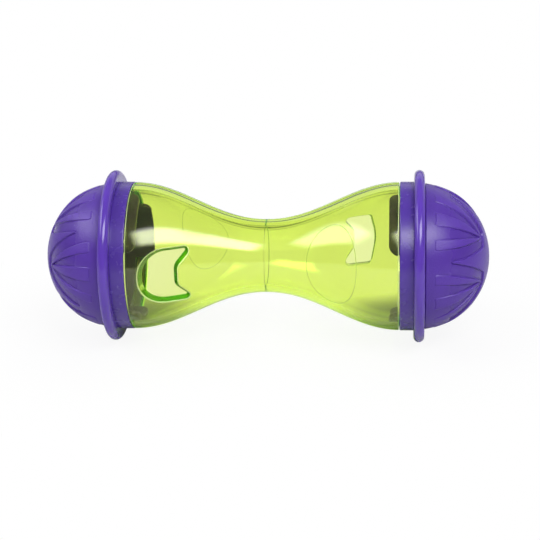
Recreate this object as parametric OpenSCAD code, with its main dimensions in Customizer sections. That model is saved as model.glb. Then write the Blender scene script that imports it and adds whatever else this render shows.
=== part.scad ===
// Bone-shaped treat dispenser: two clear bells bonded at the neck, each closed by a cap.
// A cap is a lock collar, a roller ring and a dome. Treats fall out of the two outlets.
// X runs along the axis, Z is up, and the floor under the neck is the origin.

/* [Bell] */
// Length of one bell from the neck seam to the edge of the collar
bell_l = 49.5; // [46:0.5:65]
// Outer diameter at the neck seam
neck_d = 27.4; // [22:0.2:34]
// Step from the outside of the collar down to the bell's mouth
mouth_step = 0.1; // [0.05:0.05:0.5]
// How late the bell widens: at 1 it does so evenly, and above 1 nearer its mouth
flare = 1.04; // [1:0.02:1.2]
// Thickness of the bell's wall
bell_wall = 2.6; // [2.2:0.1:3.4]
// Length of the rebated spigot that enters the collar
spigot_l = 3.8; // [2.5:0.1:4.2]
// Chamfer on the neck's rim, which makes the groove at the seam
seam_chamfer = 0.45; // [0.2:0.05:1]

/* [Left outlet] */
// Distance from the edge of the collar to the chin of the left outlet
left_chin_gap = 4.7; // [4:0.1:8]
// Length of the left outlet from the chin to the top of the head
left_head_l = 13.9; // [11:0.1:16]
// Width of the left outlet across the cheeks
left_head_w = 20.4; // [20:0.2:24]
// Height of its ears above the top of the head
left_ear_h = 6.2; // [3:0.1:7]
// Gap between its ears along the top of the head
left_ear_gap = 6.8; // [4:0.2:9]
// Radius of its cheeks
left_cheek_r = 9.5; // [5:0.1:9.6]
// Distance that its chin bows out between the cheeks
left_chin_bow = 0.4; // [0.2:0.1:0.8]

/* [Right outlet] */
// Distance from the edge of the collar to the chin of the right outlet
right_chin_gap = 9.2; // [7:0.1:11]
// Length of the right outlet from the chin to the top of the head
right_head_l = 8.1; // [7:0.1:11]
// Width of the right outlet across the cheeks
right_head_w = 20.6; // [17:0.2:22]
// Height of its ears above the top of the head
right_ear_h = 4.7; // [3:0.1:6]
// Gap between its ears along the top of the head
right_ear_gap = 6.8; // [4:0.2:8]
// Radius of its cheeks
right_cheek_r = 1.2; // [1:0.1:3]
// Distance that its chin bows out between the cheeks
right_chin_bow = 2; // [1:0.1:2.4]

/* [Both outlets] */
// Radius of the bow of the chin
chin_r = 22; // [12:1:22]
// Radius of the ears' tips
ear_tip_r = 1.8; // [0.5:0.1:2]
// Radius at the foot of each ear
ear_foot_r = 1.2; // [0.5:0.1:1.5]

/* [Lock collar] */
// Outer diameter of the collar
collar_d = 55.3; // [50:0.1:60]
// Length of the collar along the axis
collar_l = 5.3; // [4.8:0.1:8]
// Thickness of the collar's sleeve round the spigot
collar_wall = 1.3; // [1:0.1:1.5]
// Number of tongues
tongue_n = 3; // [2:1:5]
// Angle that one tongue spans
tongue_angle = 60; // [20:2:64]
// Reach of the tongues into the bell beyond the collar's edge
tongue_l = 3.5; // [2:0.1:6]
// Thickness of a tongue
tongue_t = 1.8; // [1.4:0.1:2]
// Radius of the corners of a tongue's free end
tongue_corner_r = 3.2; // [0.6:0.1:3.4]
// Depth that the hub, which carries the ring and the dome, reaches into the dome
hub_seat = 4; // [2.5:0.1:5]
// Turn of the left cap as seated, from the outlet to its first tongue
left_cap_turn = 51; // [0:0.5:360]
// Turn of the right cap as seated, from the outlet to its first tongue
right_cap_turn = 250.5; // [0:0.5:360]

/* [Roller ring] */
// Outer diameter of the ring
ring_d = 64; // [60:0.5:76]
// Width of the ring
ring_w = 3.9; // [3:0.1:5]

/* [Dome] */
// Step from the outside of the collar up to the dome's raised pattern
dome_step = 0.4; // [0:0.05:0.8]
// Distance from the dome's centre to its flat face
dome_rise = 4.2; // [2:0.05:5]
// Thickness of the dome's wall under the pattern
dome_wall = 2; // [1.6:0.1:2.4]
// Least thickness of the dome's wall round the hub
socket_wall = 0.95; // [0.7:0.05:1.2]
// Height of the raised pattern
relief_h = 0.6; // [0.2:0.05:0.7]
// Number of points on the raised star
star_n = 5; // [4:1:6]
// Polar angle of the star's points, from the tip of the dome
point_polar = 60; // [52:1:64]
// Polar angle of the bottom of each notch in the star
notch_polar = 24; // [20:1:32]
// Width of a notch at its bottom
notch_w = 5.4; // [4:0.2:6]
// Polar angle where the three raised fingers between two points meet
apex_polar = 29; // [26:0.5:36]
// Polar angle of the fingers' outer ends
finger_polar = 74; // [66:0.5:75]
// Angle that the middle finger spans at its outer end
middle_finger_angle = 12; // [6:0.5:16]
// Angle that each side finger spans at its outer end
side_finger_angle = 8.6; // [4:0.2:12]
// Turn from the middle finger to a side finger
side_finger_turn = 22.3; // [18:0.1:26]
// Width of a finger where the three meet
finger_tip_w = 0.5; // [0.3:0.1:1]
// Turn from a cap's first tongue to the star's first point
star_turn = -12; // [-36:0.5:36]

/* [Fits] */
// Radial clearance between the spigot and the collar, and the spigot and the tongues
spigot_fit = 0.15; // [0.1:0.05:0.3]
// Radial running clearance between the ring and the hub
ring_fit = 0.08; // [0.02:0.01:0.1]
// Clearance on each side of the ring
ring_side_fit = 0.1; // [0.05:0.05:0.2]
// Clearance between the bell's shoulder and the collar's edge, and at the spigot's end
shoulder_fit = 0.2; // [0.1:0.05:0.4]
// Radial glue line between the dome and the hub
glue_fit = 0.05; // [0.02:0.01:0.1]

/* [Hidden] */

$fn = 96;
bell_steps = 28;
corner_steps = 10;
beyond = 1;

bell_green = [0.72, 0.88, 0.2, 0.5];
cap_purple = [0.32, 0.22, 0.64];
ring_purple = [0.36, 0.25, 0.69];

collar_r = collar_d / 2;
collar_bore_r = collar_r - collar_wall;
spigot_r = collar_bore_r - spigot_fit;
neck_r = neck_d / 2;
mouth_r = collar_r - mouth_step;
mouth_bore_r = mouth_r - bell_wall;
axis_z = ring_d / 2;

collar_start = bell_l + shoulder_fit;
collar_end = bell_l + collar_l;
web_start = bell_l + spigot_l + shoulder_fit;
tongue_start = bell_l - tongue_l;
ring_start = collar_end + ring_side_fit;
ring_end = ring_start + ring_w;
dome_start = ring_end + ring_side_fit;
hub_end = dome_start + hub_seat;

dome_r = collar_r + dome_step;
dome_base_r = dome_r - relief_h;
dome_hollow_r = dome_base_r - dome_wall;
dome_centre = dome_start - dome_rise;
socket_end = dome_rise + hub_seat;
socket_r = sqrt(dome_base_r ^ 2 - socket_end ^ 2) - socket_wall;
hub_r = socket_r - glue_fit;
fan_angle = 360 / star_n;

// Radius of the bell's outer surface at a distance from the neck seam
function bell_phase(x) = 180 * (x / bell_l) ^ flare;
function bell_r(x) = neck_r + (mouth_r - neck_r) * (1 - cos(bell_phase(x))) / 2;

// Slope of that surface, as an angle
function bell_slope(x) = atan(
    (mouth_r - neck_r) * PI * flare / bell_l * (x / bell_l) ^ (flare - 1) * sin(bell_phase(x)) / 2
);

// Point of the outer surface, and of the inner one a wall's thickness below it
function bell_outer(x) = [bell_r(x), x];
function bell_inner(x) = [
    bell_r(x) - bell_wall * cos(bell_slope(x)),
    x + bell_wall * sin(bell_slope(x))
];

// Radius of the inner surface at a distance from the neck seam
function bell_bore_r(x) = bell_inner(x - bell_wall * sin(bell_slope(x)))[0];

// The tongues clear the bell's narrowest place that they reach
tongue_r = bell_bore_r(tongue_start) - spigot_fit;
hub_bore_r = tongue_r - tongue_t;

// Points that round the corner at b, between a and c, with a radius
function rounded_corner(a, b, c, radius) =
    let (
        to_a = (a - b) / norm(a - b),
        to_c = (c - b) / norm(c - b),
        half = acos(to_a * to_c) / 2,
        bisector = (to_a + to_c) / norm(to_a + to_c),
        centre = b + bisector * radius / sin(half),
        start = b + to_a * radius / tan(half) - centre,
        end = b + to_c * radius / tan(half) - centre,
        turn = atan2(start.x * end.y - start.y * end.x, start * end)
    )
    [for (i = [0 : corner_steps])
        let (angle = turn * i / corner_steps)
        centre + [
            start.x * cos(angle) - start.y * sin(angle),
            start.x * sin(angle) + start.y * cos(angle)
        ]
    ];

// Outline with each corner rounded by its own radius; a corner is [point, radius]
function rounded_outline(corners) =
    let (n = len(corners))
    [for (i = [0 : n - 1])
        each rounded_corner(
            corners[(i + n - 1) % n][0], corners[i][0], corners[(i + 1) % n][0], corners[i][1]
        )
    ];

// Point of the pattern, seen along the axis, at a polar angle on the dome and a turn about it
function on_dome(polar, turn) = dome_r * sin(polar) * [cos(turn), sin(turn)];

// Turns a shape so that its own Z axis lies along X, and its own X axis along Y
module along_axis() {
    rotate([90, 0, 90]) children();
}

// Raises an outline, drawn along X and across it, towards +Y
module towards_y(height) {
    rotate([-90, 0, 0]) linear_extrude(height) children();
}

// Tube along X from one end to the other
module tube(start, end, outer_r, inner_r) {
    translate([start, 0, 0]) along_axis() difference() {
        cylinder(h = end - start, r = outer_r);
        translate([0, 0, -beyond]) cylinder(h = end - start + 2 * beyond, r = inner_r);
    }
}

// The right end is modelled along +X with its axis at zero, and the left end is its half turn
module at_right(turn = 0) {
    translate([0, 0, axis_z]) rotate([turn, 0, 0]) children();
}

module at_left(turn = 0) {
    translate([0, 0, axis_z]) rotate([0, 0, 180]) rotate([turn, 0, 0]) children();
}

module bell_shell() {
    steps = [0 : bell_steps];
    outer = [for (i = steps) if (i > 0) bell_outer(bell_l * i / bell_steps)];
    inner = [for (i = steps) if (i < bell_steps) bell_inner(bell_l * (1 - i / bell_steps))];
    spigot_end = bell_l + spigot_l;
    along_axis() rotate_extrude() polygon(concat(
        [[neck_r - seam_chamfer, 0], [neck_r, seam_chamfer]],
        outer,
        [[spigot_r, bell_l], [spigot_r, spigot_end], [mouth_bore_r, spigot_end]],
        inner,
        [[neck_r - bell_wall, 0]]
    ));
}

// Cat's head with its chin towards the cap and its ears towards the neck
module outlet_cut(chin_gap, head_l, head_w, ear_h, ear_gap, cheek_r, chin_bow) {
    chin_x = bell_l - chin_gap;
    brow_x = chin_x - head_l;
    ear_x = brow_x - ear_h;
    cheek = head_w / 2;
    ear_foot = ear_gap / 2;
    outline = rounded_outline([
        [[chin_x - chin_bow, -cheek], cheek_r],
        [[chin_x, 0], chin_r],
        [[chin_x - chin_bow, cheek], cheek_r],
        [[ear_x, cheek], ear_tip_r],
        [[brow_x, ear_foot], ear_foot_r],
        [[brow_x, -ear_foot], ear_foot_r],
        [[ear_x, -cheek], ear_tip_r]
    ]);
    towards_y(mouth_r + beyond) polygon(outline);
}

// A bell, with its outlet cut out
module bell() {
    color(bell_green) difference() {
        bell_shell();
        children();
    }
}

module left_bell() {
    bell() outlet_cut(
        left_chin_gap, left_head_l, left_head_w, left_ear_h, left_ear_gap, left_cheek_r, left_chin_bow
    );
}

module right_bell() {
    bell() outlet_cut(
        right_chin_gap, right_head_l, right_head_w, right_ear_h, right_ear_gap, right_cheek_r, right_chin_bow
    );
}

// One tongue as a block: its outline, with round free corners, raised through the tube
module tongue_block() {
    half = tongue_r * sin(tongue_angle / 2);
    free_right = [tongue_start, -half];
    free_left = [tongue_start, half];
    root_right = [collar_end, -half];
    root_left = [collar_end, half];
    towards_y(tongue_r + beyond) polygon(concat(
        rounded_corner(root_right, free_right, free_left, tongue_corner_r),
        rounded_corner(free_right, free_left, root_left, tongue_corner_r),
        [root_left, root_right]
    ));
}

module tongues() {
    for (i = [0 : tongue_n - 1]) {
        rotate([i * 360 / tongue_n, 0, 0]) intersection() {
            tube(tongue_start - beyond, collar_end, tongue_r, hub_bore_r);
            tongue_block();
        }
    }
}

module lock_collar() {
    color(cap_purple) union() {
        tube(collar_start, web_start, collar_r, collar_bore_r);
        tube(web_start, collar_end, collar_r, hub_bore_r);
        tube(collar_end, hub_end, hub_r, hub_bore_r);
        tongues();
    }
}

module roller_ring() {
    ring_bore_r = hub_r + ring_fit;
    edge_r = ring_w / 2;
    edge_centre = ring_d / 2 - edge_r;
    color(ring_purple) translate([ring_start, 0, 0]) along_axis() rotate_extrude() {
        translate([ring_bore_r, 0]) square([edge_centre - ring_bore_r, ring_w]);
        translate([edge_centre, edge_r]) circle(r = edge_r);
    }
}

// The star's outline, with a notch between each two points
module star_outline() {
    notch_bottom = dome_r * sin(notch_polar);
    polygon([for (i = [0 : star_n - 1])
        let (turn = i * fan_angle, middle = turn + fan_angle / 2)
        each [
            on_dome(point_polar, turn),
            notch_bottom * [cos(middle), sin(middle)] + notch_w / 2 * [sin(middle), -cos(middle)],
            notch_bottom * [cos(middle), sin(middle)] - notch_w / 2 * [sin(middle), -cos(middle)]
        ]
    ]);
}

// One finger, from the meeting point of its fan to its outer end
module finger_outline(fan_turn, finger_turn, angle) {
    apex = on_dome(apex_polar, fan_turn);
    along = on_dome(finger_polar, finger_turn) - apex;
    across = finger_tip_w / 2 * [-along.y, along.x] / norm(along);
    polygon([
        apex - across, on_dome(finger_polar, finger_turn - angle / 2),
        on_dome(finger_polar, finger_turn + angle / 2), apex + across
    ]);
}

module relief_outlines() {
    star_outline();
    for (i = [0 : star_n - 1]) {
        fan_turn = (i + 0.5) * fan_angle;
        finger_outline(fan_turn, fan_turn, middle_finger_angle);
        for (side = [-1, 1]) {
            finger_outline(fan_turn, fan_turn + side * side_finger_turn, side_finger_angle);
        }
    }
}

// Half of a ball beyond the dome's flat face
module ball_beyond_face(radius) {
    intersection() {
        sphere(r = radius);
        translate([-collar_d, -collar_d, dome_rise]) cube([2 * collar_d, 2 * collar_d, collar_d]);
    }
}

module dome() {
    color(cap_purple) translate([dome_centre, 0, 0]) along_axis() rotate(star_turn) difference() {
        union() {
            ball_beyond_face(dome_base_r);
            intersection() {
                ball_beyond_face(dome_r);
                linear_extrude(dome_r + beyond) relief_outlines();
            }
        }
        sphere(r = dome_hollow_r);
        cylinder(h = socket_end, r = socket_r);
    }
}

at_left() left_bell();
at_right() right_bell();
at_left(left_cap_turn) lock_collar();  // left_lock_collar
at_right(right_cap_turn) lock_collar();  // right_lock_collar
at_left() roller_ring();  // left_roller_ring
at_right() roller_ring();  // right_roller_ring
at_left(left_cap_turn) dome();  // left_dome
at_right(right_cap_turn) dome();  // right_dome
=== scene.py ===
"""A bone-shaped treat dispenser: two clear bells and two purple caps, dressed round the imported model."""

import math

import bmesh
import bpy
import numpy as np
from mathutils import Matrix, Vector
from mathutils.geometry import delaunay_2d_cdt


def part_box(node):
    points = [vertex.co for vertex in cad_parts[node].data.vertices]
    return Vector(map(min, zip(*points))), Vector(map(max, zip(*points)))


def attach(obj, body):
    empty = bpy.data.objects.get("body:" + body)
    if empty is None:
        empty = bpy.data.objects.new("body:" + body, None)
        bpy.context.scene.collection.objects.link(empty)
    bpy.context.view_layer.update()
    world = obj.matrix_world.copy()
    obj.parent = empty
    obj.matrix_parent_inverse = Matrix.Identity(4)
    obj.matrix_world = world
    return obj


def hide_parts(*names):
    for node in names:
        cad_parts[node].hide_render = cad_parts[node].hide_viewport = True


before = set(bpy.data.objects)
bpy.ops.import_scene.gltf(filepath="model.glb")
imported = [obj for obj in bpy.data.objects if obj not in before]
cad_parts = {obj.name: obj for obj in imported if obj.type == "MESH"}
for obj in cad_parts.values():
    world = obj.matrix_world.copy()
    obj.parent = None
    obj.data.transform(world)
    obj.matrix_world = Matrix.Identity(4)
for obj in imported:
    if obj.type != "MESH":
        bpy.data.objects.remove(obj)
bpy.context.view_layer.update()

# Sizes from the frame, in millimetres. The right end lies along +X, and the left end is its half turn.
MM = 0.001


def ends(node):
    """Where a node starts and ends along the axis."""
    low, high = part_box(node)
    return low.x / MM, high.x / MM


ring_low, ring_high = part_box("right_roller_ring")
ring_start, ring_end = ends("right_roller_ring")
axis_z = (ring_low.z + ring_high.z) / 2 / MM
ring_r = (ring_high.z - ring_low.z) / 2 / MM
tongue_start, hub_end = ends("right_lock_collar")
dome_start = ends("right_dome")[0]
spigot_end = ends("right_bell")[1]

# Fits, and the gap that is seen between a collar and its ring
spigot_fit = 0.15
shoulder_fit = 0.2
ring_fit = 0.08
glue_fit = 0.05
ring_gap = 0.03

# Outside of the collar, from which the bell's mouth and the dome take their sizes
collar_r = 27.65
collar_wall = 1.3
collar_bore_r = collar_r - collar_wall

# Bell
bell_l = 49.5
neck_r = 13.7
mouth_step = 0.1
mouth_r = collar_r - mouth_step
bell_wall = 2.6
flare = 1.04
spigot_r = collar_bore_r - spigot_fit
mouth_bore_r = mouth_r - bell_wall
seam_round = 0.1
seam_gap = 0.006
lip_round = 0.5
spigot_round = 0.25
bell_row_step = 0.85
bell_columns = 192
bell_pitch = 2 * math.pi / bell_columns
bore_samples = 400

# Outlets: a cat's head with its chin towards the cap
chin_r = 22
ear_tip_r = 1.8
ear_foot_r = 3.0
LEFT_OUTLET = {"chin_x": bell_l - 4.7, "head_l": 13.9, "head_w": 20.4, "ear_h": 6.2, "ear_gap": 6.8,
               "cheek_r": 9.5, "chin_bow": 0.4}
# An edge's frosting share marks its outlet: near 1 the rounded edges get a painted cream highlight, at 0.5
# or below a painted green glow of piped light.
LEFT_EDGE = {"fillet": 0.55, "draft": 1.3, "frost_and_painted_light": 1.0}
RIGHT_OUTLET = {"chin_x": bell_l - 9.2, "head_l": 8.1, "head_w": 20.6, "ear_h": 4.7, "ear_gap": 6.8,
                "cheek_r": 1.2, "chin_bow": 2.0}
RIGHT_EDGE = {"fillet": 0.25, "draft": 0.15, "frost_and_painted_light": 0.3}

# Mould line: a fine oval groove on the side away from the outlet
oval_x = 25.0
oval_half_l = 9.2
oval_half_angle = math.radians(44)
oval_turn = math.radians(180 - 8)
oval_depth = 0.1
oval_half_w = 0.2
oval_finish = 0.3
oval_columns = 110

# Lock collar
collar_start = bell_l + shoulder_fit
collar_end = ring_start - ring_gap
web_start = spigot_end + shoulder_fit
tongue_r = 24.6
tongue_t = 1.8
tongue_half_angle = math.radians(30)
tongue_n = 3
tongue_corner_r = 3.2
tongue_fillet = 0.35
tongue_root = 0.4
hub_bore_r = tongue_r - tongue_t
left_cap_turn = math.radians(51)
right_cap_turn = math.radians(250.5)

# Dome
dome_step = 0.4
dome_r = collar_r + dome_step
dome_wall = 2
relief_h = 0.6
dome_base_r = dome_r - relief_h
dome_hollow_r = dome_base_r - dome_wall
dome_rise = 4.2
dome_centre = dome_start - dome_rise
socket_wall = 0.95
socket_r = math.sqrt(dome_base_r ** 2 - (hub_end - dome_centre) ** 2) - socket_wall
socket_chamfer = 0.2
star_n = 5
point_polar = math.radians(63.5)
point_tip_r = 0.3
notch_polar = math.radians(24)
notch_w = 5.4
notch_r = 2.0
apex_polar = math.radians(29)
finger_polar = math.radians(74)
middle_finger_angle = math.radians(12)
side_finger_angle = math.radians(8.6)
side_finger_turn = math.radians(22.3)
finger_tip_w = 0.5
finger_tip_r = 0.15
finger_end_r = 0.4
fan_angle = 2 * math.pi / star_n
star_turn = math.radians(-12)
relief_bevel = 0.5
relief_groove = 0.12
groove_end = 1.5 * relief_bevel
finger_fade = 0.75
fade_polar = (math.radians(50), math.radians(73))
dome_rim_round = 0.45
dome_columns = 240
dome_spacing = 1.1
hollow_rows = 40

# Hub and roller ring, which fit in the dome's socket
hub_r = socket_r - glue_fit
ring_bore_r = hub_r + ring_fit

# Fineness of the meshes
arc_step = 0.35
line_step = 0.7
revolve_columns = 240
outlet_fillet_rows = 6
tongue_fillet_rows = 5
merge_distance = 1e-5
sharp_angle = math.radians(40)


# Shapes
def unit(vector):
    return vector / np.linalg.norm(vector)


class Outline:
    """A closed outline of lines and corner arcs, running anticlockwise, that can be drawn grown."""
    least_radius = 0.3
    least_steps = 4

    def __init__(self, corners):
        points = [np.array(point, float) for point, _ in corners]
        self.arcs = []
        for i, (_, radius) in enumerate(corners):
            corner = points[i]
            to_before = unit(points[i - 1] - corner)
            to_after = unit(points[(i + 1) % len(points)] - corner)
            half = math.acos(to_before @ to_after) / 2
            lean = unit(to_before + to_after) / math.sin(half)
            centre = corner + lean * radius
            start = corner + to_before * radius / math.tan(half) - centre
            end = corner + to_after * radius / math.tan(half) - centre
            turn = math.atan2(start[0] * end[1] - start[1] * end[0], start @ end)
            steps = max(self.least_steps, math.ceil(abs(turn) * radius / arc_step))
            angles = math.atan2(start[1], start[0]) + turn * np.linspace(0, 1, steps + 1)
            directions = np.stack([np.cos(angles), np.sin(angles)], axis=1)
            self.arcs.append((centre, lean, directions, radius, math.copysign(1, turn)))
        arcs = [centre + directions * radius for centre, _, directions, radius, _ in self.arcs]
        self.line_steps = [
            max(1, math.ceil(np.linalg.norm(following[0] - arc[-1]) / line_step))
            for arc, following in zip(arcs, arcs[1:] + arcs[:1])
        ]

    def loop(self, growth=0.0):
        """Points along the outline, moved outwards by growth; as many for any growth."""
        arcs = []
        for centre, lean, directions, radius, sign in self.arcs:
            grown = radius + sign * growth
            kept = max(grown, min(radius, self.least_radius))
            arcs.append(centre + lean * (kept - grown) + directions * kept)
        points = []
        for arc, following, steps in zip(arcs, arcs[1:] + arcs[:1], self.line_steps):
            share = np.linspace(0, 1, steps, endpoint=False)[1:, None]
            points += [arc, arc[-1] * (1 - share) + following[0] * share]
        return np.concatenate(points)

    def normals(self):
        """Outward directions at the points of the loop."""
        found = []
        for (_, _, directions, _, sign), steps in zip(self.arcs, self.line_steps):
            found += [directions * sign, np.repeat(directions[-1:] * sign, steps - 1, axis=0)]
        return np.concatenate(found)


class Shell:
    """Points, known smooth normals, marks for grain, frosting, painted shade and painted light, and faces
    of a piece, in millimetres.
    """

    def __init__(self):
        self.points = []
        self.normals = []
        self.finishes_and_painted_light = []
        self.faces = []

    def add(self, points, normals=None, finish=0.0):
        """Adds points and returns their indices. A zero normal is left to the shading."""
        first = len(self.points)
        self.points.extend(tuple(point) for point in points)
        if normals is None:
            normals = np.zeros((len(points), 3))
        self.normals.extend(tuple(normal) for normal in normals)
        self.finishes_and_painted_light.extend(np.broadcast_to(finish, len(points)))
        return list(range(first, len(self.points)))

    def bridge(self, one, other):
        """Quads between two closed loops of equally many points."""
        for i in range(len(one)):
            self.faces.append((one[i - 1], one[i], other[i], other[i - 1]))

    def fan(self, loop, tip):
        """Triangles between a closed loop and one point."""
        for i in range(len(loop)):
            self.faces.append((loop[i - 1], loop[i], tip))


def round_axis(x, r, turn):
    """Points at distances along the axis, radii and turns about it, from +Y towards +Z."""
    x, r, turn = np.broadcast_arrays(x, r, turn)
    return np.stack([x, r * np.cos(turn), r * np.sin(turn)], axis=-1)


def full_turn(columns):
    return np.linspace(0, 2 * math.pi, columns, endpoint=False)


def revolve(shell, outline, painted_shade_r=0.0):
    """Turns an outline of (distance along the axis, radius) once round the axis.
    Places nearer the axis than the given radius are marked 1, which paints shade on them."""
    turns = full_turn(revolve_columns)
    rows = []
    for (x, r), (normal_x, normal_r) in zip(outline.loop(), outline.normals()):
        finish = float(r < painted_shade_r)
        rows.append(shell.add(round_axis(x, r, turns), round_axis(normal_x, normal_r, turns), finish))
    for row, following in zip(rows, rows[1:] + rows[:1]):
        shell.bridge(row, following)


def inside(points, polygon):
    """Whether each point of the plane lies inside a polygon."""
    found = np.zeros(len(points), bool)
    x, y = points[:, 0], points[:, 1]
    for (x0, y0), (x1, y1) in zip(polygon, np.roll(polygon, -1, axis=0)):
        if y0 != y1:
            found ^= ((y0 > y) != (y1 > y)) & (x < x0 + (y - y0) * (x1 - x0) / (y1 - y0))
    return found


def distance(points, polygon):
    """Distance from each point of the plane to a polygon's line."""
    least = np.full(len(points), np.inf)
    for start, end in zip(polygon, np.roll(polygon, -1, axis=0)):
        along = end - start
        share = np.clip((points - start) @ along / (along @ along), 0, 1)
        gap = np.linalg.norm(points - start - share[:, None] * along, axis=1)
        least = np.minimum(least, gap)
    return least


def triangulate(points, loops):
    """Triangles that join points of the plane and keep to closed loops of their indices.
    Returns the points, which may be more where loops cross, the triangles, and the index that each
    point had first."""
    edges = [(loop[i - 1], loop[i]) for loop in loops for i in range(len(loop))]
    whole_hull = 0
    corners = [Vector(point) for point in points]
    found = delaunay_2d_cdt(corners, edges, [], whole_hull, merge_distance, True)
    firsts = [ids[0] if ids else None for ids in found[3]]
    return np.array([tuple(point) for point in found[0]]), found[2], firsts


# Bell. Its outlet's cut face is marked CUT, which paints a green glow of light piped along the wall, and
# its rounded edges 1, which paints a cream highlight.
CUT = 0.5


def bell_radius(x):
    return neck_r + (mouth_r - neck_r) * (1 - np.cos(np.pi * (x / bell_l) ** flare)) / 2


def bell_slope(x):
    """How fast the outer radius grows along the axis."""
    share = x / bell_l
    phase = np.pi * share ** flare
    return (mouth_r - neck_r) * np.pi * flare / bell_l * share ** (flare - 1) * np.sin(phase) / 2


def bell_inside(x):
    """Distance along the axis and radius of the inner surface, under a point of the outer one."""
    lean = np.arctan(bell_slope(x))
    return x + bell_wall * np.sin(lean), bell_radius(x) - bell_wall * np.cos(lean)


UNDER_X = np.linspace(0, bell_l, bore_samples)
BORE_X, BORE_R = bell_inside(UNDER_X)


def bore_radius(x):
    return np.interp(x, BORE_X, BORE_R)


def bore_slope(x):
    return bell_slope(np.interp(x, BORE_X, UNDER_X))


def quarter(centre, radius, start, end, steps=5):
    """Points of an arc of (distance along the axis, radius), between two angles in degrees."""
    angles = np.radians(np.linspace(start, end, steps))
    return [(centre[0] + radius * math.cos(a), centre[1] + radius * math.sin(a)) for a in angles]


def outlet_outline(chin_x, head_l, head_w, ear_h, ear_gap, cheek_r, chin_bow):
    """A cat's head as (distance along the axis, distance across)."""
    brow_x = chin_x - head_l
    ear_x = brow_x - ear_h
    cheek = head_w / 2
    ear_foot = ear_gap / 2
    return Outline([
        ((chin_x - chin_bow, -cheek), cheek_r),
        ((chin_x, 0), chin_r),
        ((chin_x - chin_bow, cheek), cheek_r),
        ((ear_x, cheek), ear_tip_r),
        ((brow_x, ear_foot), ear_foot_r),
        ((brow_x, -ear_foot), ear_foot_r),
        ((ear_x, -cheek), ear_tip_r),
    ])


class Window:
    """A block of a bell's cells that is filled round loops of points instead of with quads."""
    margin = 1.1
    clearance = 0.55

    def __init__(self, rows, xs, chart_loops, middle_turn, hole):
        """Rows are row numbers in order of xs, and chart_loops are arrays of (distance along the
        axis, turn)."""
        extent = np.concatenate(chart_loops)
        low, high = extent.min(axis=0), extent.max(axis=0)
        first = max(i for i, x in enumerate(xs) if x < low[0] - self.margin)
        last = min(i for i, x in enumerate(xs) if x > high[0] + self.margin)
        spare = self.margin / bell_radius(low[0])
        half_turn = max(abs(low[1] - middle_turn), abs(high[1] - middle_turn)) + spare
        middle = round(middle_turn / bell_pitch)
        half = math.ceil(half_turn / bell_pitch)
        self.rows = rows[first:last + 1]
        self.xs = xs[first:last + 1]
        self.columns = range(middle - half, middle + half + 1)
        self.loops = chart_loops
        self.hole = hole

    def holds(self, row, following, column):
        """Whether the cell between two rows, to the right of a column, is in the window."""
        steps = (column - self.columns[0]) % bell_columns
        return row in self.rows and following in self.rows and steps < len(self.columns) - 1

    def fill(self, shell, grid, loop_indices):
        """Triangles between the window's border, the free grid points in it and the loops."""
        scale = bell_radius(np.mean(self.xs))
        corner = [(i, j) for i in range(len(self.rows)) for j in range(len(self.columns))]
        border = [(0, j) for j in range(len(self.columns))]
        border += [(i, len(self.columns) - 1) for i in range(1, len(self.rows))]
        border += [(len(self.rows) - 1, j) for j in range(len(self.columns) - 2, -1, -1)]
        border += [(i, 0) for i in range(len(self.rows) - 2, 0, -1)]
        chart = {(i, j): (self.xs[i], self.columns[j] * bell_pitch * scale) for i, j in corner}
        loops = [loop * (1, scale) for loop in self.loops]
        inner = [cell for cell in corner if cell not in set(border)]
        places = np.array([chart[cell] for cell in inner])
        free = np.ones(len(inner), bool)
        for loop in loops:
            free &= distance(places, loop) > self.clearance
        if self.hole:
            free &= ~inside(places, loops[0])
        inner = [cell for cell, kept in zip(inner, free) if kept]
        points = [chart[cell] for cell in border + inner]
        indices = [grid[self.rows[i]][self.columns[j] % bell_columns] for i, j in border + inner]
        rings = [list(range(len(border)))]
        for loop, numbers in zip(loops, loop_indices):
            rings.append(list(range(len(points), len(points) + len(loop))))
            points += [tuple(point) for point in loop]
            indices += numbers
        placed, triangles, firsts = triangulate(points, rings)
        middles = np.array([placed[list(face)].mean(axis=0) for face in triangles])
        skipped = inside(middles, loops[0]) if self.hole else np.zeros(len(triangles), bool)
        for face, skip in zip(triangles, skipped):
            if not skip:
                shell.faces.append(tuple(indices[firsts[corner]] for corner in face))


def on_bell(chart, depth=0.0):
    """Points and normals of the outer surface at (distance along the axis, turn)."""
    x, turn = chart[:, 0], chart[:, 1]
    slope = bell_slope(x)
    length = np.hypot(slope, 1)
    return round_axis(x, bell_radius(x) - depth, turn), round_axis(-slope / length, 1 / length, turn)


def on_bore(chart):
    """Points and normals of the inner surface at (distance along the axis, turn)."""
    x, turn = chart[:, 0], chart[:, 1]
    slope = bore_slope(x)
    length = np.hypot(slope, 1)
    return round_axis(x, bore_radius(x), turn), round_axis(slope / length, -1 / length, turn)


def across_to_turn(loop, radius):
    """Distances across the outlet as turns about the axis, on a surface of that radius."""
    return np.stack([loop[:, 0], np.arcsin(loop[:, 1] / radius(loop[:, 0]))], axis=1)


def oval_loops():
    """Charts of the mould line's groove: its two shoulders with its two floor lines between."""
    turns = full_turn(oval_columns)
    scale = bell_radius(oval_x)
    floor_share = 0.35
    loops = []
    for share in (-1, -floor_share, floor_share, 1):
        growth = share * oval_half_w
        x = oval_x + (oval_half_l + growth) * np.cos(turns)
        turn = oval_turn + (oval_half_angle + growth / scale) * np.sin(turns)
        loops.append(np.stack([x, turn], axis=1))
    return loops


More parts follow.
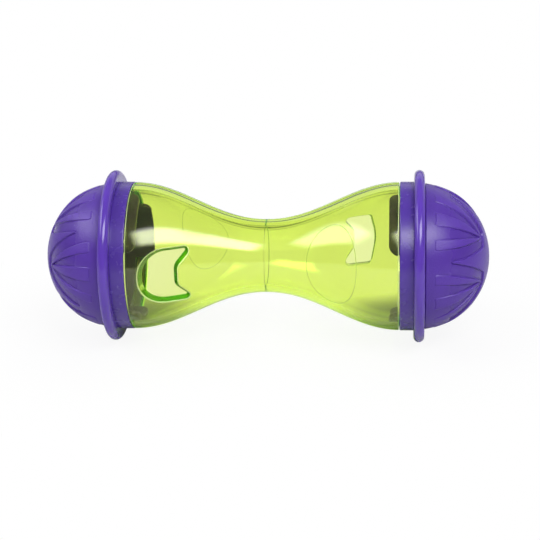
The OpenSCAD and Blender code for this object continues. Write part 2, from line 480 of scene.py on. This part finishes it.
def bell_shell(outlet, edge):
    """A bell. It is marked 1 on the lip, where a cream highlight is painted, oval_finish in the mould line
    and 0 on the polished walls.
    The outlet's rounded edges are marked with the edge's frosting share, and its cut face CUT of that
    share; there the plastic is partly frosted and painted, cream for a highlight at 1 and green for piped
    light at CUT or below."""
    shell = Shell()
    draft = edge["draft"]
    turns = full_turn(bell_columns)
    steps = round(bell_l / bell_row_step)
    outer_x = np.linspace(seam_gap + seam_round, bell_l - lip_round, steps)
    inner_x = bell_inside(np.linspace(0, bell_l, steps))[0]
    inner_x[0] = seam_gap
    lip = quarter((bell_l - lip_round, mouth_r - lip_round), lip_round, 90, 0)[1:]
    mouth = [(bell_l, spigot_r)]
    mouth += quarter((spigot_end - spigot_round, spigot_r - spigot_round), spigot_round, 90, 0)
    mouth += quarter((spigot_end - spigot_round, mouth_bore_r + spigot_round), spigot_round, 0, -90)
    seam = [(seam_gap, neck_r - seam_round)]
    seam += quarter((seam_gap + seam_round, neck_r - seam_round), seam_round, 180, 90, steps=7)[1:-1]

    grid = []
    for x in outer_x:
        grid.append(shell.add(*on_bell(np.stack([np.full(bell_columns, x), turns], axis=1))))
    for x, r in lip:
        grid.append(shell.add(round_axis(x, r, turns), finish=1))
    for x, r in mouth:
        grid.append(shell.add(round_axis(x, r, turns)))
    for x in inner_x[::-1]:
        grid.append(shell.add(*on_bore(np.stack([np.full(bell_columns, x), turns], axis=1))))
    for x, r in seam:
        grid.append(shell.add(round_axis(x, r, turns)))
    outer_rows = list(range(steps))
    inner_rows = list(range(len(grid) - len(seam) - steps, len(grid) - len(seam)))[::-1]

    shape = outlet_outline(**outlet)
    fillet = np.radians(np.linspace(0, 90, outlet_fillet_rows))
    growths = edge["fillet"] * (1 - np.sin(fillet))
    depths = edge["fillet"] * (1 - np.cos(fillet))
    finishes_and_painted_light = edge["frost_and_painted_light"] * np.array([0] + [1] * (len(fillet) - 2) + [CUT])
    cut = []
    for growth, depth, finish in zip(growths, depths, finishes_and_painted_light):
        loop = shape.loop(growth)
        points, normals = on_bell(across_to_turn(loop, bell_radius))
        points[:, 1] -= depth
        cut.append(shell.add(points, normals if depth == 0 else None, finish))
    for growth, depth, finish in zip(growths[::-1], depths[::-1], finishes_and_painted_light[::-1]):
        loop = shape.loop(growth - draft)
        points, normals = on_bore(across_to_turn(loop, bore_radius))
        points[:, 1] += depth
        cut.append(shell.add(points, normals if depth == 0 else None, finish))
    for loop, following in zip(cut, cut[1:]):
        shell.bridge(loop, following)

    outer_edge = across_to_turn(shape.loop(edge["fillet"]), bell_radius)
    inner_edge = across_to_turn(shape.loop(edge["fillet"] - draft), bore_radius)
    outer_window = Window(outer_rows, outer_x, [outer_edge], 0, True)
    inner_window = Window(inner_rows, inner_x, [inner_edge], 0, True)
    charts = oval_loops()
    groove = [
        shell.add(*on_bell(charts[0])),
        shell.add(on_bell(charts[1], oval_depth)[0], finish=oval_finish),
        shell.add(on_bell(charts[2], oval_depth)[0], finish=oval_finish),
        shell.add(*on_bell(charts[3])),
    ]
    oval_window = Window(outer_rows, outer_x, charts, oval_turn, False)
    windows = (outer_window, inner_window, oval_window)
    for row in range(len(grid)):
        following = (row + 1) % len(grid)
        for column in range(bell_columns):
            if not any(window.holds(row, following, column) for window in windows):
                right = (column + 1) % bell_columns
                shell.faces.append((
                    grid[row][column], grid[row][right], grid[following][right], grid[following][column]
                ))
    outer_window.fill(shell, grid, [cut[0]])
    inner_window.fill(shell, grid, [cut[-1]])
    oval_window.fill(shell, grid, groove)
    return shell


# Lock collar
def tongue(shell, turn):
    """One tongue as a closed block with rounded edges, whose root lies inside the collar's web."""
    half = tongue_r * math.sin(tongue_half_angle)
    root = web_start + tongue_root
    shape = Outline([
        ((tongue_start, half), tongue_corner_r),
        ((tongue_start, -half), tongue_corner_r),
        ((root, -half), 2 * tongue_fillet),
        ((root, half), 2 * tongue_fillet),
    ])
    inner_r = tongue_r - tongue_t
    fillet = np.radians(np.linspace(0, 90, tongue_fillet_rows))
    shrinks = tongue_fillet * (1 - np.sin(fillet))
    sinks = tongue_fillet * (1 - np.cos(fillet))
    loops = []
    # All of a tongue's points are marked 1, which paints shade on it.
    for radius, shrink, sink in (
        [(tongue_r, a, -b) for a, b in zip(shrinks, sinks)]
        + [(inner_r, a, b) for a, b in zip(shrinks[::-1], sinks[::-1])]
    ):
        x, across = shape.loop(-shrink).T
        turns = turn + np.arcsin(across / tongue_r)
        loops.append(shell.add(round_axis(x, radius + sink, turns), finish=1))
    for loop, following in zip(loops, loops[1:]):
        shell.bridge(loop, following)
    edge = shape.loop(-tongue_fillet)
    low, high = edge.min(axis=0), edge.max(axis=0)
    lattice = np.array([
        (x, across)
        for x in np.arange(low[0], high[0], line_step)
        for across in np.arange(low[1], high[1], line_step)
    ])
    free = lattice[inside(lattice, edge) & (distance(lattice, edge) > line_step / 2)]
    points = np.concatenate([edge, free])
    placed, triangles, firsts = triangulate(points, [list(range(len(edge)))])
    middles = np.array([placed[list(face)].mean(axis=0) for face in triangles])
    kept = [face for face, within in zip(triangles, inside(middles, edge)) if within]
    for radius, loop in ((tongue_r, loops[0]), (inner_r, loops[-1])):
        turns = turn + np.arcsin(free[:, 1] / tongue_r)
        indices = loop + shell.add(round_axis(free[:, 0], radius, turns), finish=1)
        for face in kept:
            shell.faces.append(tuple(indices[firsts[corner]] for corner in face))


def collar_shell():
    """A lock collar. Its tongues and its inside are marked 1, which paints shade on them: darker, rougher
    and less shiny than its outside, which is marked 0.
    """
    shell = Shell()
    edge_round = 0.45
    fine_round = 0.2
    revolve(shell, Outline([
        ((collar_start, collar_bore_r), fine_round),
        ((web_start, collar_bore_r), fine_round),
        ((web_start, hub_bore_r), fine_round),
        ((hub_end, hub_bore_r), fine_round),
        ((hub_end, hub_r), fine_round),
        ((collar_end, hub_r), fine_round / 2),
        ((collar_end, collar_r), fine_round / 3),
        ((collar_start, collar_r), edge_round),
    ]), painted_shade_r=collar_bore_r + fine_round)
    for i in range(tongue_n):
        tongue(shell, i * 2 * math.pi / tongue_n)
    return shell


# Roller ring
def ring_shell():
    shell = Shell()
    bore_round = 0.3
    flat = 0.02
    full_round = (ring_end - ring_start - flat) / 2
    revolve(shell, Outline([
        ((ring_start, ring_bore_r), bore_round),
        ((ring_end, ring_bore_r), bore_round),
        ((ring_end, ring_r), full_round),
        ((ring_start, ring_r), full_round),
    ]))
    return shell


# Dome
def seen_along_axis(polar, turn):
    """Place of a point of the dome in the plane across its axis."""
    return dome_r * math.sin(polar) * np.array([math.cos(turn), math.sin(turn)])


def relief_outlines():
    """Outlines of the raised star and fingers, seen along the axis."""
    star = []
    for i in range(star_n):
        turn = i * fan_angle
        notch_turn = turn + fan_angle / 2
        bottom = seen_along_axis(notch_polar, notch_turn)
        across = np.array([math.sin(notch_turn), -math.cos(notch_turn)]) * notch_w / 2
        star += [
            (seen_along_axis(point_polar, turn), point_tip_r),
            (bottom + across, notch_r),
            (bottom - across, notch_r),
        ]
    outlines = [Outline(star)]
    for i in range(star_n):
        fan_turn = (i + 0.5) * fan_angle
        apex = seen_along_axis(apex_polar, fan_turn)
        for turn, angle in (
            (fan_turn - side_finger_turn, side_finger_angle),
            (fan_turn, middle_finger_angle),
            (fan_turn + side_finger_turn, side_finger_angle),
        ):
            along = unit(seen_along_axis(finger_polar, turn) - apex)
            across = np.array([-along[1], along[0]]) * finger_tip_w / 2
            outlines.append(Outline([
                (apex - across, finger_tip_r),
                (seen_along_axis(finger_polar, turn - angle / 2), finger_end_r),
                (seen_along_axis(finger_polar, turn + angle / 2), finger_end_r),
                (apex + across, finger_tip_r),
            ]))
    return outlines


def laid_flat(points):
    """Points seen along the axis, with their distance from the tip measured over the dome instead."""
    reach = np.linalg.norm(points, axis=1, keepdims=True)
    return points / reach * dome_r * np.arcsin(np.minimum(reach / dome_r, 1))


def shifted(loop, growth):
    """A closed loop moved outwards, by its own side directions."""
    along = np.roll(loop, -1, axis=0) - np.roll(loop, 1, axis=0)
    along /= np.linalg.norm(along, axis=1, keepdims=True)
    return loop + growth * np.stack([along[:, 1], -along[:, 0]], axis=1)


def depth_in(points, outlines):
    """How far each point lies inside the nearest outline, or minus how far outside all of them."""
    deepest = np.full(len(points), -np.inf)
    for outline in outlines:
        gap = distance(points, outline)
        deepest = np.maximum(deepest, np.where(inside(points, outline), gap, -gap))
    return deepest


def smooth_step(value, low, high):
    share = np.clip((value - low) / (high - low), 0, 1)
    return share * share * (3 - 2 * share)


def relief_share(depth):
    """0 in the valleys and 1 on the raised faces, from how far a point lies inside an outline."""
    return smooth_step(depth, -relief_bevel / 2, relief_bevel / 2)


def relief_height(depth):
    """Height over the dome's base: a raised face, a bevel and a shallow groove at its foot."""
    groove = relief_groove * smooth_step(depth, -groove_end, -relief_bevel / 2)
    return (relief_h + relief_groove) * relief_share(depth) - groove


class DomeSurface:
    """The dome's outer surface over the plane it is laid flat on."""

    def __init__(self):
        self.outlines = [laid_flat(outline.loop()) for outline in relief_outlines()]

    def depths(self, flat):
        """How far points lie inside the star, and inside a finger."""
        return depth_in(flat, self.outlines[:1]), depth_in(flat, self.outlines[1:])

    def points(self, flat):
        star_depth, finger_depth = self.depths(flat)
        polar = np.linalg.norm(flat, axis=1) / dome_r
        turn = np.arctan2(flat[:, 1], flat[:, 0]) + star_turn
        fade = 1 - finger_fade * smooth_step(polar, *fade_polar)
        radius = dome_base_r + relief_height(star_depth) + fade * relief_height(finger_depth)
        return round_axis(dome_centre + radius * np.cos(polar), radius * np.sin(polar), turn)

    def normals(self, flat, step=0.02):
        """Normals from how the surface changes over a small step each way."""
        one, other = np.array([step, 0]), np.array([0, step])
        along = self.points(flat + one) - self.points(flat - one)
        across = self.points(flat + other) - self.points(flat - other)
        found = np.cross(along, across)
        return found / np.linalg.norm(found, axis=1, keepdims=True)

    def finish(self, flat):
        """1 on the grained raised faces, rim_finish by the rim and 0 in the smooth valleys."""
        rim_finish = 0.5
        star_depth, finger_depth = self.depths(flat)
        polar = np.linalg.norm(flat, axis=1) / dome_r
        raised = np.maximum(relief_share(star_depth), relief_share(finger_depth))
        return np.maximum(raised, rim_finish * smooth_step(polar, *fade_polar))


def dome_shell():
    """A dome. Loops along the edges of its pattern, with loose points between them, carry the relief."""
    shell = Shell()
    surface = DomeSurface()
    bevel_shares = (-0.5, -0.3, -0.1, 0.1, 0.3, 0.5, 0.95, groove_end / relief_bevel)
    rim_polar = math.acos((dome_rise + dome_rim_round) / dome_base_r)
    turns = full_turn(dome_columns)
    rim = dome_r * rim_polar * np.stack([np.cos(turns), np.sin(turns)], axis=1)
    loops = [rim]
    for outline in surface.outlines:
        for share in bevel_shares:
            loops.append(shifted(outline, share * relief_bevel))
    rings = [np.zeros((1, 2))]
    for reach in np.arange(dome_spacing, dome_r * rim_polar - dome_spacing / 2, dome_spacing):
        around = full_turn(round(2 * math.pi * reach / dome_spacing))
        rings.append(reach * np.stack([np.cos(around), np.sin(around)], axis=1))
    loose = np.concatenate(rings)
    depth = np.maximum(*surface.depths(loose))
    clearance = dome_spacing / 3
    loose = loose[(depth > relief_bevel / 2 + clearance) | (depth < -groove_end - clearance)]
    points = np.concatenate(loops + [loose])
    numbers = []
    for loop in loops:
        first = sum(len(n) for n in numbers)
        numbers.append(list(range(first, first + len(loop))))
    placed, triangles, firsts = triangulate(points, numbers)
    outside = shell.add(surface.points(placed), surface.normals(placed), surface.finish(placed))
    for face in triangles:
        shell.faces.append(tuple(outside[corner] for corner in face))
    place_of = {first: index for index, first in enumerate(firsts) if first is not None}
    edge = [outside[place_of[i]] for i in range(dome_columns)]

    face_r = math.sqrt(dome_base_r ** 2 - dome_rise ** 2)
    hollow_polar = math.acos((hub_end - dome_centre) / dome_hollow_r)
    rim_centre = (dome_start + dome_rim_round, face_r - dome_rim_round)
    profile = quarter(rim_centre, dome_rim_round, 90, 180)[1:]
    profile += [
        (dome_start, socket_r + socket_chamfer),
        (dome_start + socket_chamfer, socket_r),
        (hub_end, socket_r),
    ]
    for angle in np.linspace(hollow_polar, 0, hollow_rows, endpoint=False):
        profile.append((dome_centre + dome_hollow_r * math.cos(angle), dome_hollow_r * math.sin(angle)))
    for x, r in profile:
        following = shell.add(round_axis(x, r, turns + star_turn))
        shell.bridge(edge, following)
        edge = following
    tip = shell.add([(dome_centre + dome_hollow_r, 0, 0)])
    shell.fan(edge, tip[0])
    return shell


# Materials
class Graph:
    """The nodes of a material, the world or a lamp."""

    # Where most of a noise texture's values lie
    noise_low = 0.3
    noise_high = 0.7

    def __init__(self, owner):
        owner.use_nodes = True
        self.nodes = owner.node_tree.nodes
        self.link = owner.node_tree.links.new

    def add(self, kind, **values):
        """A node with some of its sockets, named with underscores for spaces, set to constants."""
        node = self.nodes.new(f"ShaderNode{kind}")
        for name, value in values.items():
            node.inputs[name.replace("_", " ")].default_value = value
        return node

    def combine(self, operation, *values):
        """What a Math node makes of sockets and constants."""
        node = self.add("Math")
        node.operation = operation
        for socket, value in zip(node.inputs, values):
            if isinstance(value, float):
                socket.default_value = value
            else:
                self.link(value, socket)
        return node.outputs["Value"]

    def ramp(self, value, low, high, at_low=0.0, at_high=1.0):
        """A smooth step of a value, from one level to another."""
        step = self.add("MapRange", From_Min=low, From_Max=high, To_Min=at_low, To_Max=at_high)
        step.interpolation_type = "SMOOTHSTEP"
        self.link(value, step.inputs["Value"])
        return step.outputs["Result"]

    def noise(self, scale, detail, low, high):
        """Noise over the object's own space, most of it between two values."""
        place = self.add("TexCoord")
        texture = self.add("TexNoise", Scale=scale, Detail=detail)
        self.link(place.outputs["Object"], texture.inputs["Vector"])
        spread = self.add(
            "MapRange", From_Min=self.noise_low, From_Max=self.noise_high, To_Min=low, To_Max=high
        )
        spread.clamp = False
        self.link(texture.outputs["Fac"], spread.inputs["Value"])
        return spread.outputs["Result"]

    def finish(self):
        """The marks of the mesh's points, for grain, frosting, painted shade and painted light."""
        node = self.add("Attribute")
        node.attribute_name = "finish"
        return node.outputs["Fac"]

    def bump(self, height, distance):
        """Normals of a surface whose height is given in shares of a distance."""
        node = self.add("Bump", Strength=1.0, Distance=distance)
        self.link(height, node.inputs["Height"])
        return node.outputs["Normal"]

    def blend(self, share, one, other):
        """One colour where a share is 0, and another where it is 1."""
        node = self.add("Mix")
        node.data_type = "RGBA"
        first, second = [socket for socket in node.inputs if socket.type == "RGBA"]
        first.default_value = (*one, 1)
        second.default_value = (*other, 1)
        self.link(share, node.inputs["Factor"])
        return next(socket for socket in node.outputs if socket.type == "RGBA")

    def mix(self, share, one, other):
        """One shader where a share is 0, and another where it is 1."""
        node = self.add("MixShader")
        self.link(share, node.inputs["Fac"])
        self.link(one, node.inputs[1])
        self.link(other, node.inputs[2])
        return node.outputs["Shader"]


def new_material(name):
    material = bpy.data.materials.new(name)
    graph = Graph(material)
    graph.nodes.clear()
    return material, graph


def plastic(name, colour, roughness, grain_scale, grain_height, specular, finish_and_shade):
    """Moulded plastic: a faint mottle in the colour, uneven gloss and a fine grain.
    Its last argument is the tone, roughness, grain and shine of places marked 1, as shares of the
    plain ones: on the dome its grained raised faces, and on the collar its tongues and inside, where it
    paints shade."""
    tone, rough, grain, shine = finish_and_shade
    mottle_scale = 140
    mottle = 0.035
    gloss_scale = 420
    unevenness = 0.025
    detail = 2
    material, graph = new_material(name)
    finish = graph.finish()
    shader = graph.add("BsdfPrincipled", IOR=1.5, Specular_IOR_Level=specular)

    darker = [channel * (1 - mottle) for channel in colour]
    paler = [channel * (1 + mottle) for channel in colour]
    toned = graph.add("VectorMath")
    toned.operation = "SCALE"
    mottled = graph.blend(graph.noise(mottle_scale, detail, low=0.1, high=0.9), darker, paler)
    graph.link(mottled, toned.inputs[0])
    # Places marked 1 take the last argument's tone: on the collar this is painted shade.
    graph.link(graph.ramp(finish, 0, 1, 1, tone), toned.inputs["Scale"])
    graph.link(toned.outputs["Vector"], shader.inputs["Base Color"])

    uneven = graph.noise(gloss_scale, detail, roughness * (1 - unevenness), roughness * (1 + unevenness))
    glossed = graph.combine("MULTIPLY", uneven, graph.ramp(finish, 0, 1, 1, rough))
    graph.link(glossed, shader.inputs["Roughness"])
    if shine != 1:
        shone = graph.ramp(finish, 0, 1, specular, specular * shine)
        graph.link(shone, shader.inputs["Specular IOR Level"])

    grained = graph.ramp(finish, 0, 1, 1, grain)
    height = graph.combine("MULTIPLY", graph.noise(grain_scale, detail, 0, 1), grained)
    graph.link(graph.bump(height, grain_height), shader.inputs["Normal"])
    output = graph.add("OutputMaterial")
    graph.link(shader.outputs["BSDF"], output.inputs["Surface"])
    return material


def clear_plastic(name, absorbed, density, shadow_tint, cut_glow_colour, edge_highlight_colour):
    """Clear tinted plastic: its colour comes from the length of the light's way through it.
    Its cut faces and rounded edges are partly frosted and painted, as the marks of their points say: a
    green glow painted for light piped along the wall, and a cream highlight painted on the edges."""
    frosted_share = 0.5
    haze = 0.008
    ripple_height = 0.00002
    material, graph = new_material(name)
    finish = graph.finish()
    clear = graph.add("BsdfPrincipled", Base_Color=(1, 1, 1, 1), IOR=1.58, Transmission_Weight=1.0)
    polish = graph.noise(scale=90, detail=3, low=0.012, high=0.035)
    graph.link(polish, clear.inputs["Roughness"])
    ripple = graph.noise(scale=70, detail=1, low=0, high=1)
    graph.link(graph.bump(ripple, ripple_height), clear.inputs["Normal"])

    frosted = graph.add("BsdfPrincipled", Roughness=0.35)
    # Painted light: a green glow on the cut faces and a cream highlight on the rounded edges and the lip.
    tint = graph.blend(graph.ramp(finish, CUT, 1), cut_glow_colour, edge_highlight_colour)
    graph.link(tint, frosted.inputs["Base Color"])
    share = graph.ramp(finish, 0, CUT, haze, frosted_share)
    edged = graph.mix(share, clear.outputs["BSDF"], frosted.outputs["BSDF"])

    ray = graph.add("LightPath")
    passing = graph.add("BsdfTransparent", Color=(*shadow_tint, 1))
    surface = graph.mix(ray.outputs["Is Shadow Ray"], edged, passing.outputs["BSDF"])
    volume = graph.add("VolumeAbsorption", Color=(*absorbed, 1), Density=density)
    output = graph.add("OutputMaterial")
    graph.link(surface, output.inputs["Surface"])
    graph.link(volume.outputs["Volume"], output.inputs["Volume"])
    return material


MATERIALS = {
    "clear_green": clear_plastic(
        "green_look", absorbed=(0.89, 0.983, 0.12), density=400, shadow_tint=(0.965, 0.985, 0.8),
        cut_glow_colour=(0.12, 0.42, 0.008), edge_highlight_colour=(0.85, 0.95, 0.45),
    ),
    # On the collar's tongues and inside, a tone of 0.3 paints shade, with rougher and less shiny plastic.
    "collar_purple": plastic(
        "collar_look", (0.063, 0.025, 0.272), roughness=0.27, grain_scale=2600, grain_height=0.0000004,
        specular=0.5, finish_and_shade=(0.3, 1.3, 1.0, 0.6),
    ),
    "ring_purple": plastic(
        "ring_look", (0.09, 0.036, 0.37), roughness=0.12, grain_scale=1800, grain_height=0.0000008,
        specular=0.5, finish_and_shade=(1.0, 1.0, 1.0, 1.0),
    ),
    "dome_purple": plastic(
        "dome_look", (0.073, 0.028, 0.287), roughness=0.26, grain_scale=1900, grain_height=0.000016,
        specular=0.32, finish_and_shade=(1.12, 1.4, 3.0, 1.0),
    ),
}


# Pieces
def at_right(points, turn):
    """Points or normals of a piece at the right end, turned about the axis."""
    x, y, z = points.T
    across = y * math.cos(turn) - z * math.sin(turn)
    up = y * math.sin(turn) + z * math.cos(turn)
    return np.stack([x, across, up], axis=1)


def at_left(points, turn):
    """The same at the left end, which is half a turn about the upright axis away."""
    return at_right(points, turn) * (-1, -1, 1)


def make_piece(node, shell, place, turn, slot, body):
    """An object that stands for a node: a shell put in its place and turned about the axis."""
    faces = shell.faces
    used = np.unique(np.concatenate([np.array(face) for face in faces]))
    number = np.full(len(shell.points), -1)
    number[used] = np.arange(len(used))
    points = place(np.array(shell.points)[used], turn) + (0, 0, axis_z)
    normals = place(np.array(shell.normals)[used], turn)
    mesh = bpy.data.meshes.new(node)
    mesh.from_pydata(points * MM, [], [tuple(int(number[corner]) for corner in face) for face in faces])
    work = bmesh.new()
    work.from_mesh(mesh)
    bmesh.ops.recalc_face_normals(work, faces=work.faces)
    work.to_mesh(mesh)
    work.free()
    mesh.shade_smooth()
    mesh.set_sharp_from_angle(angle=sharp_angle)
    mesh.normals_split_custom_set_from_vertices([tuple(normal) for normal in normals])
    mesh.materials.append(MATERIALS[slot])
    # Marks for grain, frosting, painted shade and painted light, which the materials read.
    finish = mesh.attributes.new("finish", "FLOAT", "POINT")
    finish.data.foreach_set("value", np.array(shell.finishes_and_painted_light, np.float32)[used])
    piece = bpy.data.objects.new(f"{node}_look", mesh)
    bpy.context.scene.collection.objects.link(piece)
    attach(piece, body)
    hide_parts(node)


collar = collar_shell()
ring = ring_shell()
dome = dome_shell()
for side, place, cap_turn, outlet, edge in (
    ("left", at_left, left_cap_turn, LEFT_OUTLET, LEFT_EDGE),
    ("right", at_right, right_cap_turn, RIGHT_OUTLET, RIGHT_EDGE),
):
    make_piece(f"{side}_bell", bell_shell(outlet, edge), place, 0, "clear_green", "bells")
    make_piece(f"{side}_lock_collar", collar, place, cap_turn, "collar_purple", f"{side}_cap")
    make_piece(f"{side}_roller_ring", ring, place, 0, "ring_purple", f"{side}_ring")
    make_piece(f"{side}_dome", dome, place, cap_turn, "dome_purple", f"{side}_cap")


# Stage
toy_middle = Vector((0, 0, axis_z * MM))


def ray_share(graph, seen, through, mirrored):
    """A share for rays straight from the camera, another for rays that leave clear plastic
    and a part of that for rays that leave a mirroring surface."""
    ray = graph.add("LightPath")
    glossy, transmitted = ray.outputs["Is Glossy Ray"], ray.outputs["Is Transmission Ray"]
    part = graph.combine("MULTIPLY_ADD", glossy, mirrored, transmitted)
    straight = graph.combine("MULTIPLY", ray.outputs["Is Camera Ray"], seen)
    return graph.combine("ADD", straight, graph.combine("MULTIPLY", part, through))


def add_floor():
    """White paper that glows for the camera, a little less near the rings' feet, so that the shadow
    stays. For rays that come by way of the plastic it hardly glows near the feet, where darker paper
    paints a shadow under the toy, and it glows less again far away."""
    half = 4.0
    foot_x = 0.055
    foot_y = 0.005
    paper_white = 0.72
    shaded_paper_through = 0.25
    # Distances from a foot where a glow starts and ends to change, and its level there
    seen_glow = (0.02, 0.1, 0.91, 1.0)
    painted_shadow_glow = (0.015, 0.045, 0.05, 1.0)
    far_glow = (0.6, 1.5, 1.0, 0.3)

    mesh = bpy.data.meshes.new("floor")
    corners = [(-half, -half, 0), (half, -half, 0), (half, half, 0), (-half, half, 0)]
    mesh.from_pydata(corners, [], [(0, 1, 2, 3)])
    floor = bpy.data.objects.new("floor", mesh)
    bpy.context.scene.collection.objects.link(floor)
    material, graph = new_material("white_floor")
    ray = graph.add("LightPath")
    paper = graph.add("BsdfDiffuse")
    # For rays through the plastic the paper is darker: painted shade where it does not glow.
    white = graph.ramp(ray.outputs["Is Transmission Ray"], 0, 1, paper_white, shaded_paper_through)
    graph.link(white, paper.inputs["Color"])

    point = graph.add("NewGeometry").outputs["Position"]
    for operation, value in (
        ("SUBTRACT", (0, foot_y, 0)),
        ("ABSOLUTE", (0, 0, 0)),
        ("SUBTRACT", (foot_x, 0, 0)),
    ):
        step = graph.add("VectorMath")
        step.operation = operation
        step.inputs[1].default_value = value
        graph.link(point, step.inputs[0])
        point = step.outputs["Vector"]
    length = graph.add("VectorMath")
    length.operation = "LENGTH"
    graph.link(point, length.inputs[0])
    away = length.outputs["Value"]
    seen = graph.ramp(away, *seen_glow)
    through = graph.combine("MULTIPLY", graph.ramp(away, *painted_shadow_glow), graph.ramp(away, *far_glow))

    glow = graph.add("Emission", Color=(1, 1, 1, 1), Strength=1.0)
    share = ray_share(graph, seen, through, mirrored=0.3)
    output = graph.add("OutputMaterial")
    surface = graph.mix(share, paper.outputs["BSDF"], glow.outputs["Emission"])
    graph.link(surface, output.inputs["Surface"])
    mesh.materials.append(material)


# How bright the studio is behind the toy, over the upward part of a direction: the backdrop, the dark
# gap over it, the panel above and the room
BACKDROP_LEVELS = ((0.03, 0.9), (0.12, 0.0), (0.185, 0.0), (0.2, 0.95), (0.54, 0.95), (0.6, 0.3))


def set_world():
    """Soft fill for the lit surfaces, white for the camera, and a studio to be seen in and through
    the plastic."""
    fill_level = 0.28
    room_level = 0.2
    # Parts of a direction towards the back where the room ends and the backdrop starts
    room_end = -0.1
    backdrop_start = 0.4

    world = bpy.data.worlds.new("studio")
    bpy.context.scene.world = world
    graph = Graph(world)
    graph.nodes.clear()
    place = graph.add("TexCoord")
    axes = graph.add("SeparateXYZ")
    graph.link(place.outputs["Generated"], axes.inputs["Vector"])
    levels = graph.add("ValToRGB")
    stops = levels.color_ramp.elements
    while len(stops) < len(BACKDROP_LEVELS):
        stops.new(0.5)
    for stop, (height, level) in zip(stops, BACKDROP_LEVELS):
        stop.position = height
        stop.color = (level, level, level, 1)
    graph.link(axes.outputs["Z"], levels.inputs["Fac"])
    behind = graph.ramp(axes.outputs["Y"], room_end, backdrop_start)
    over_room = graph.combine("SUBTRACT", levels.outputs["Color"], room_level)
    around = graph.combine("MULTIPLY_ADD", over_room, behind, room_level)

    ray = graph.add("LightPath")
    studio = graph.add("Background", Color=(1, 1, 1, 1))
    shown = graph.combine("MAXIMUM", around, ray.outputs["Is Camera Ray"])
    graph.link(shown, studio.inputs["Strength"])
    fill = graph.add("Background", Color=(1, 1, 1, 1), Strength=fill_level)
    share = ray_share(graph, seen=1.0, through=1.0, mirrored=0.75)
    output = graph.add("OutputWorld")
    surface = graph.mix(share, fill.outputs["Background"], studio.outputs["Background"])
    graph.link(surface, output.inputs["Surface"])


def direction(azimuth, elevation):
    """Unit vector towards an azimuth, from -Y towards +X, and an elevation, in degrees."""
    a, e = math.radians(azimuth), math.radians(elevation)
    return Vector((math.sin(a) * math.cos(e), -math.cos(a) * math.cos(e), math.sin(e)))


def soften_edges(light, share):
    """Lets an area light fade out over a share of its width and height at each edge."""
    graph = Graph(light)
    place = graph.add("NewGeometry")
    axes = graph.add("SeparateXYZ")
    graph.link(place.outputs["Parametric"], axes.inputs["Vector"])
    fades = []
    for across in (axes.outputs["X"], axes.outputs["Y"]):
        start, end = graph.ramp(across, 0, share), graph.ramp(across, 1, 1 - share)
        fades.append(graph.combine("MULTIPLY", start, end))
    graph.link(graph.combine("MULTIPLY", *fades), graph.nodes["Emission"].inputs["Strength"])


def add_softbox(name, place, size, radiance, lit=True, seen=True):
    """A softbox at an azimuth and elevation, turned to the toy. An unlit one is only seen, in
    reflections and through the plastic, and an unseen one only lights."""
    away = 0.9
    soft_share = 0.3
    light = bpy.data.lights.new(name, "AREA")
    light.shape = "RECTANGLE"
    light.size, light.size_y = size
    light.energy = radiance * math.pi * light.size * light.size_y
    soften_edges(light, soft_share)
    lamp = bpy.data.objects.new(name, light)
    lamp.visible_diffuse = lit
    lamp.visible_glossy = seen
    lamp.visible_transmission = seen
    towards = direction(*place)
    lamp.location = toy_middle + towards * away
    lamp.rotation_euler = towards.to_track_quat("Z", "Y").to_euler()
    bpy.context.scene.collection.objects.link(lamp)


def add_camera():
    """The photograph's camera. Its focal length and the toy's place in the picture are in pixels."""
    azimuth = 5.0
    elevation = 19.6
    roll = math.radians(1.42)
    away = 0.610
    focal_px = 1627
    image_size = 540
    centre_px = (266.8, 255.5)
    back = direction(azimuth, elevation)
    level = Vector((math.cos(math.radians(azimuth)), math.sin(math.radians(azimuth)), 0))
    upright = back.cross(level)
    right = level * math.cos(roll) - upright * math.sin(roll)
    up = level * math.sin(roll) + upright * math.cos(roll)
    pixel = away / focal_px
    aim = toy_middle + right * (image_size / 2 - centre_px[0]) * pixel
    aim += up * (centre_px[1] - image_size / 2) * pixel
    lens = bpy.data.cameras.new("photo_camera")
    lens.angle = 2 * math.atan(image_size / 2 / focal_px)
    camera = bpy.data.objects.new("photo_camera", lens)
    turned = Matrix((right, up, back)).transposed().to_4x4()
    camera.matrix_world = Matrix.Translation(aim + back * away) @ turned
    bpy.context.scene.collection.objects.link(camera)
    bpy.context.scene.camera = camera


add_floor()
set_world()

# Azimuth and elevation, width and height, radiance, and the radiance added where the box is seen
for name, place, size, radiance, added in (
    ("right_softbox", (32, 48), (1.0, 0.54), 8.6, 10.0),
    ("left_softbox", (-78, 43), (1.0, 0.46), 4.8, 5.5),
):
    add_softbox(name, place, size, radiance)
    add_softbox(f"{name}_gloss", place, size, added, lit=False)
add_softbox("back_softbox", (175, 55), (1.0, 0.46), 3.0, seen=False)

add_camera()
bpy.context.scene.view_settings.view_transform = "Standard"

# Light that runs along inside the clear walls is followed until it comes out
bounces = 32
bpy.context.scene.cycles.max_bounces = bounces
bpy.context.scene.cycles.transmission_bounces = bounces
bpy.context.scene.cycles.glossy_bounces = bounces
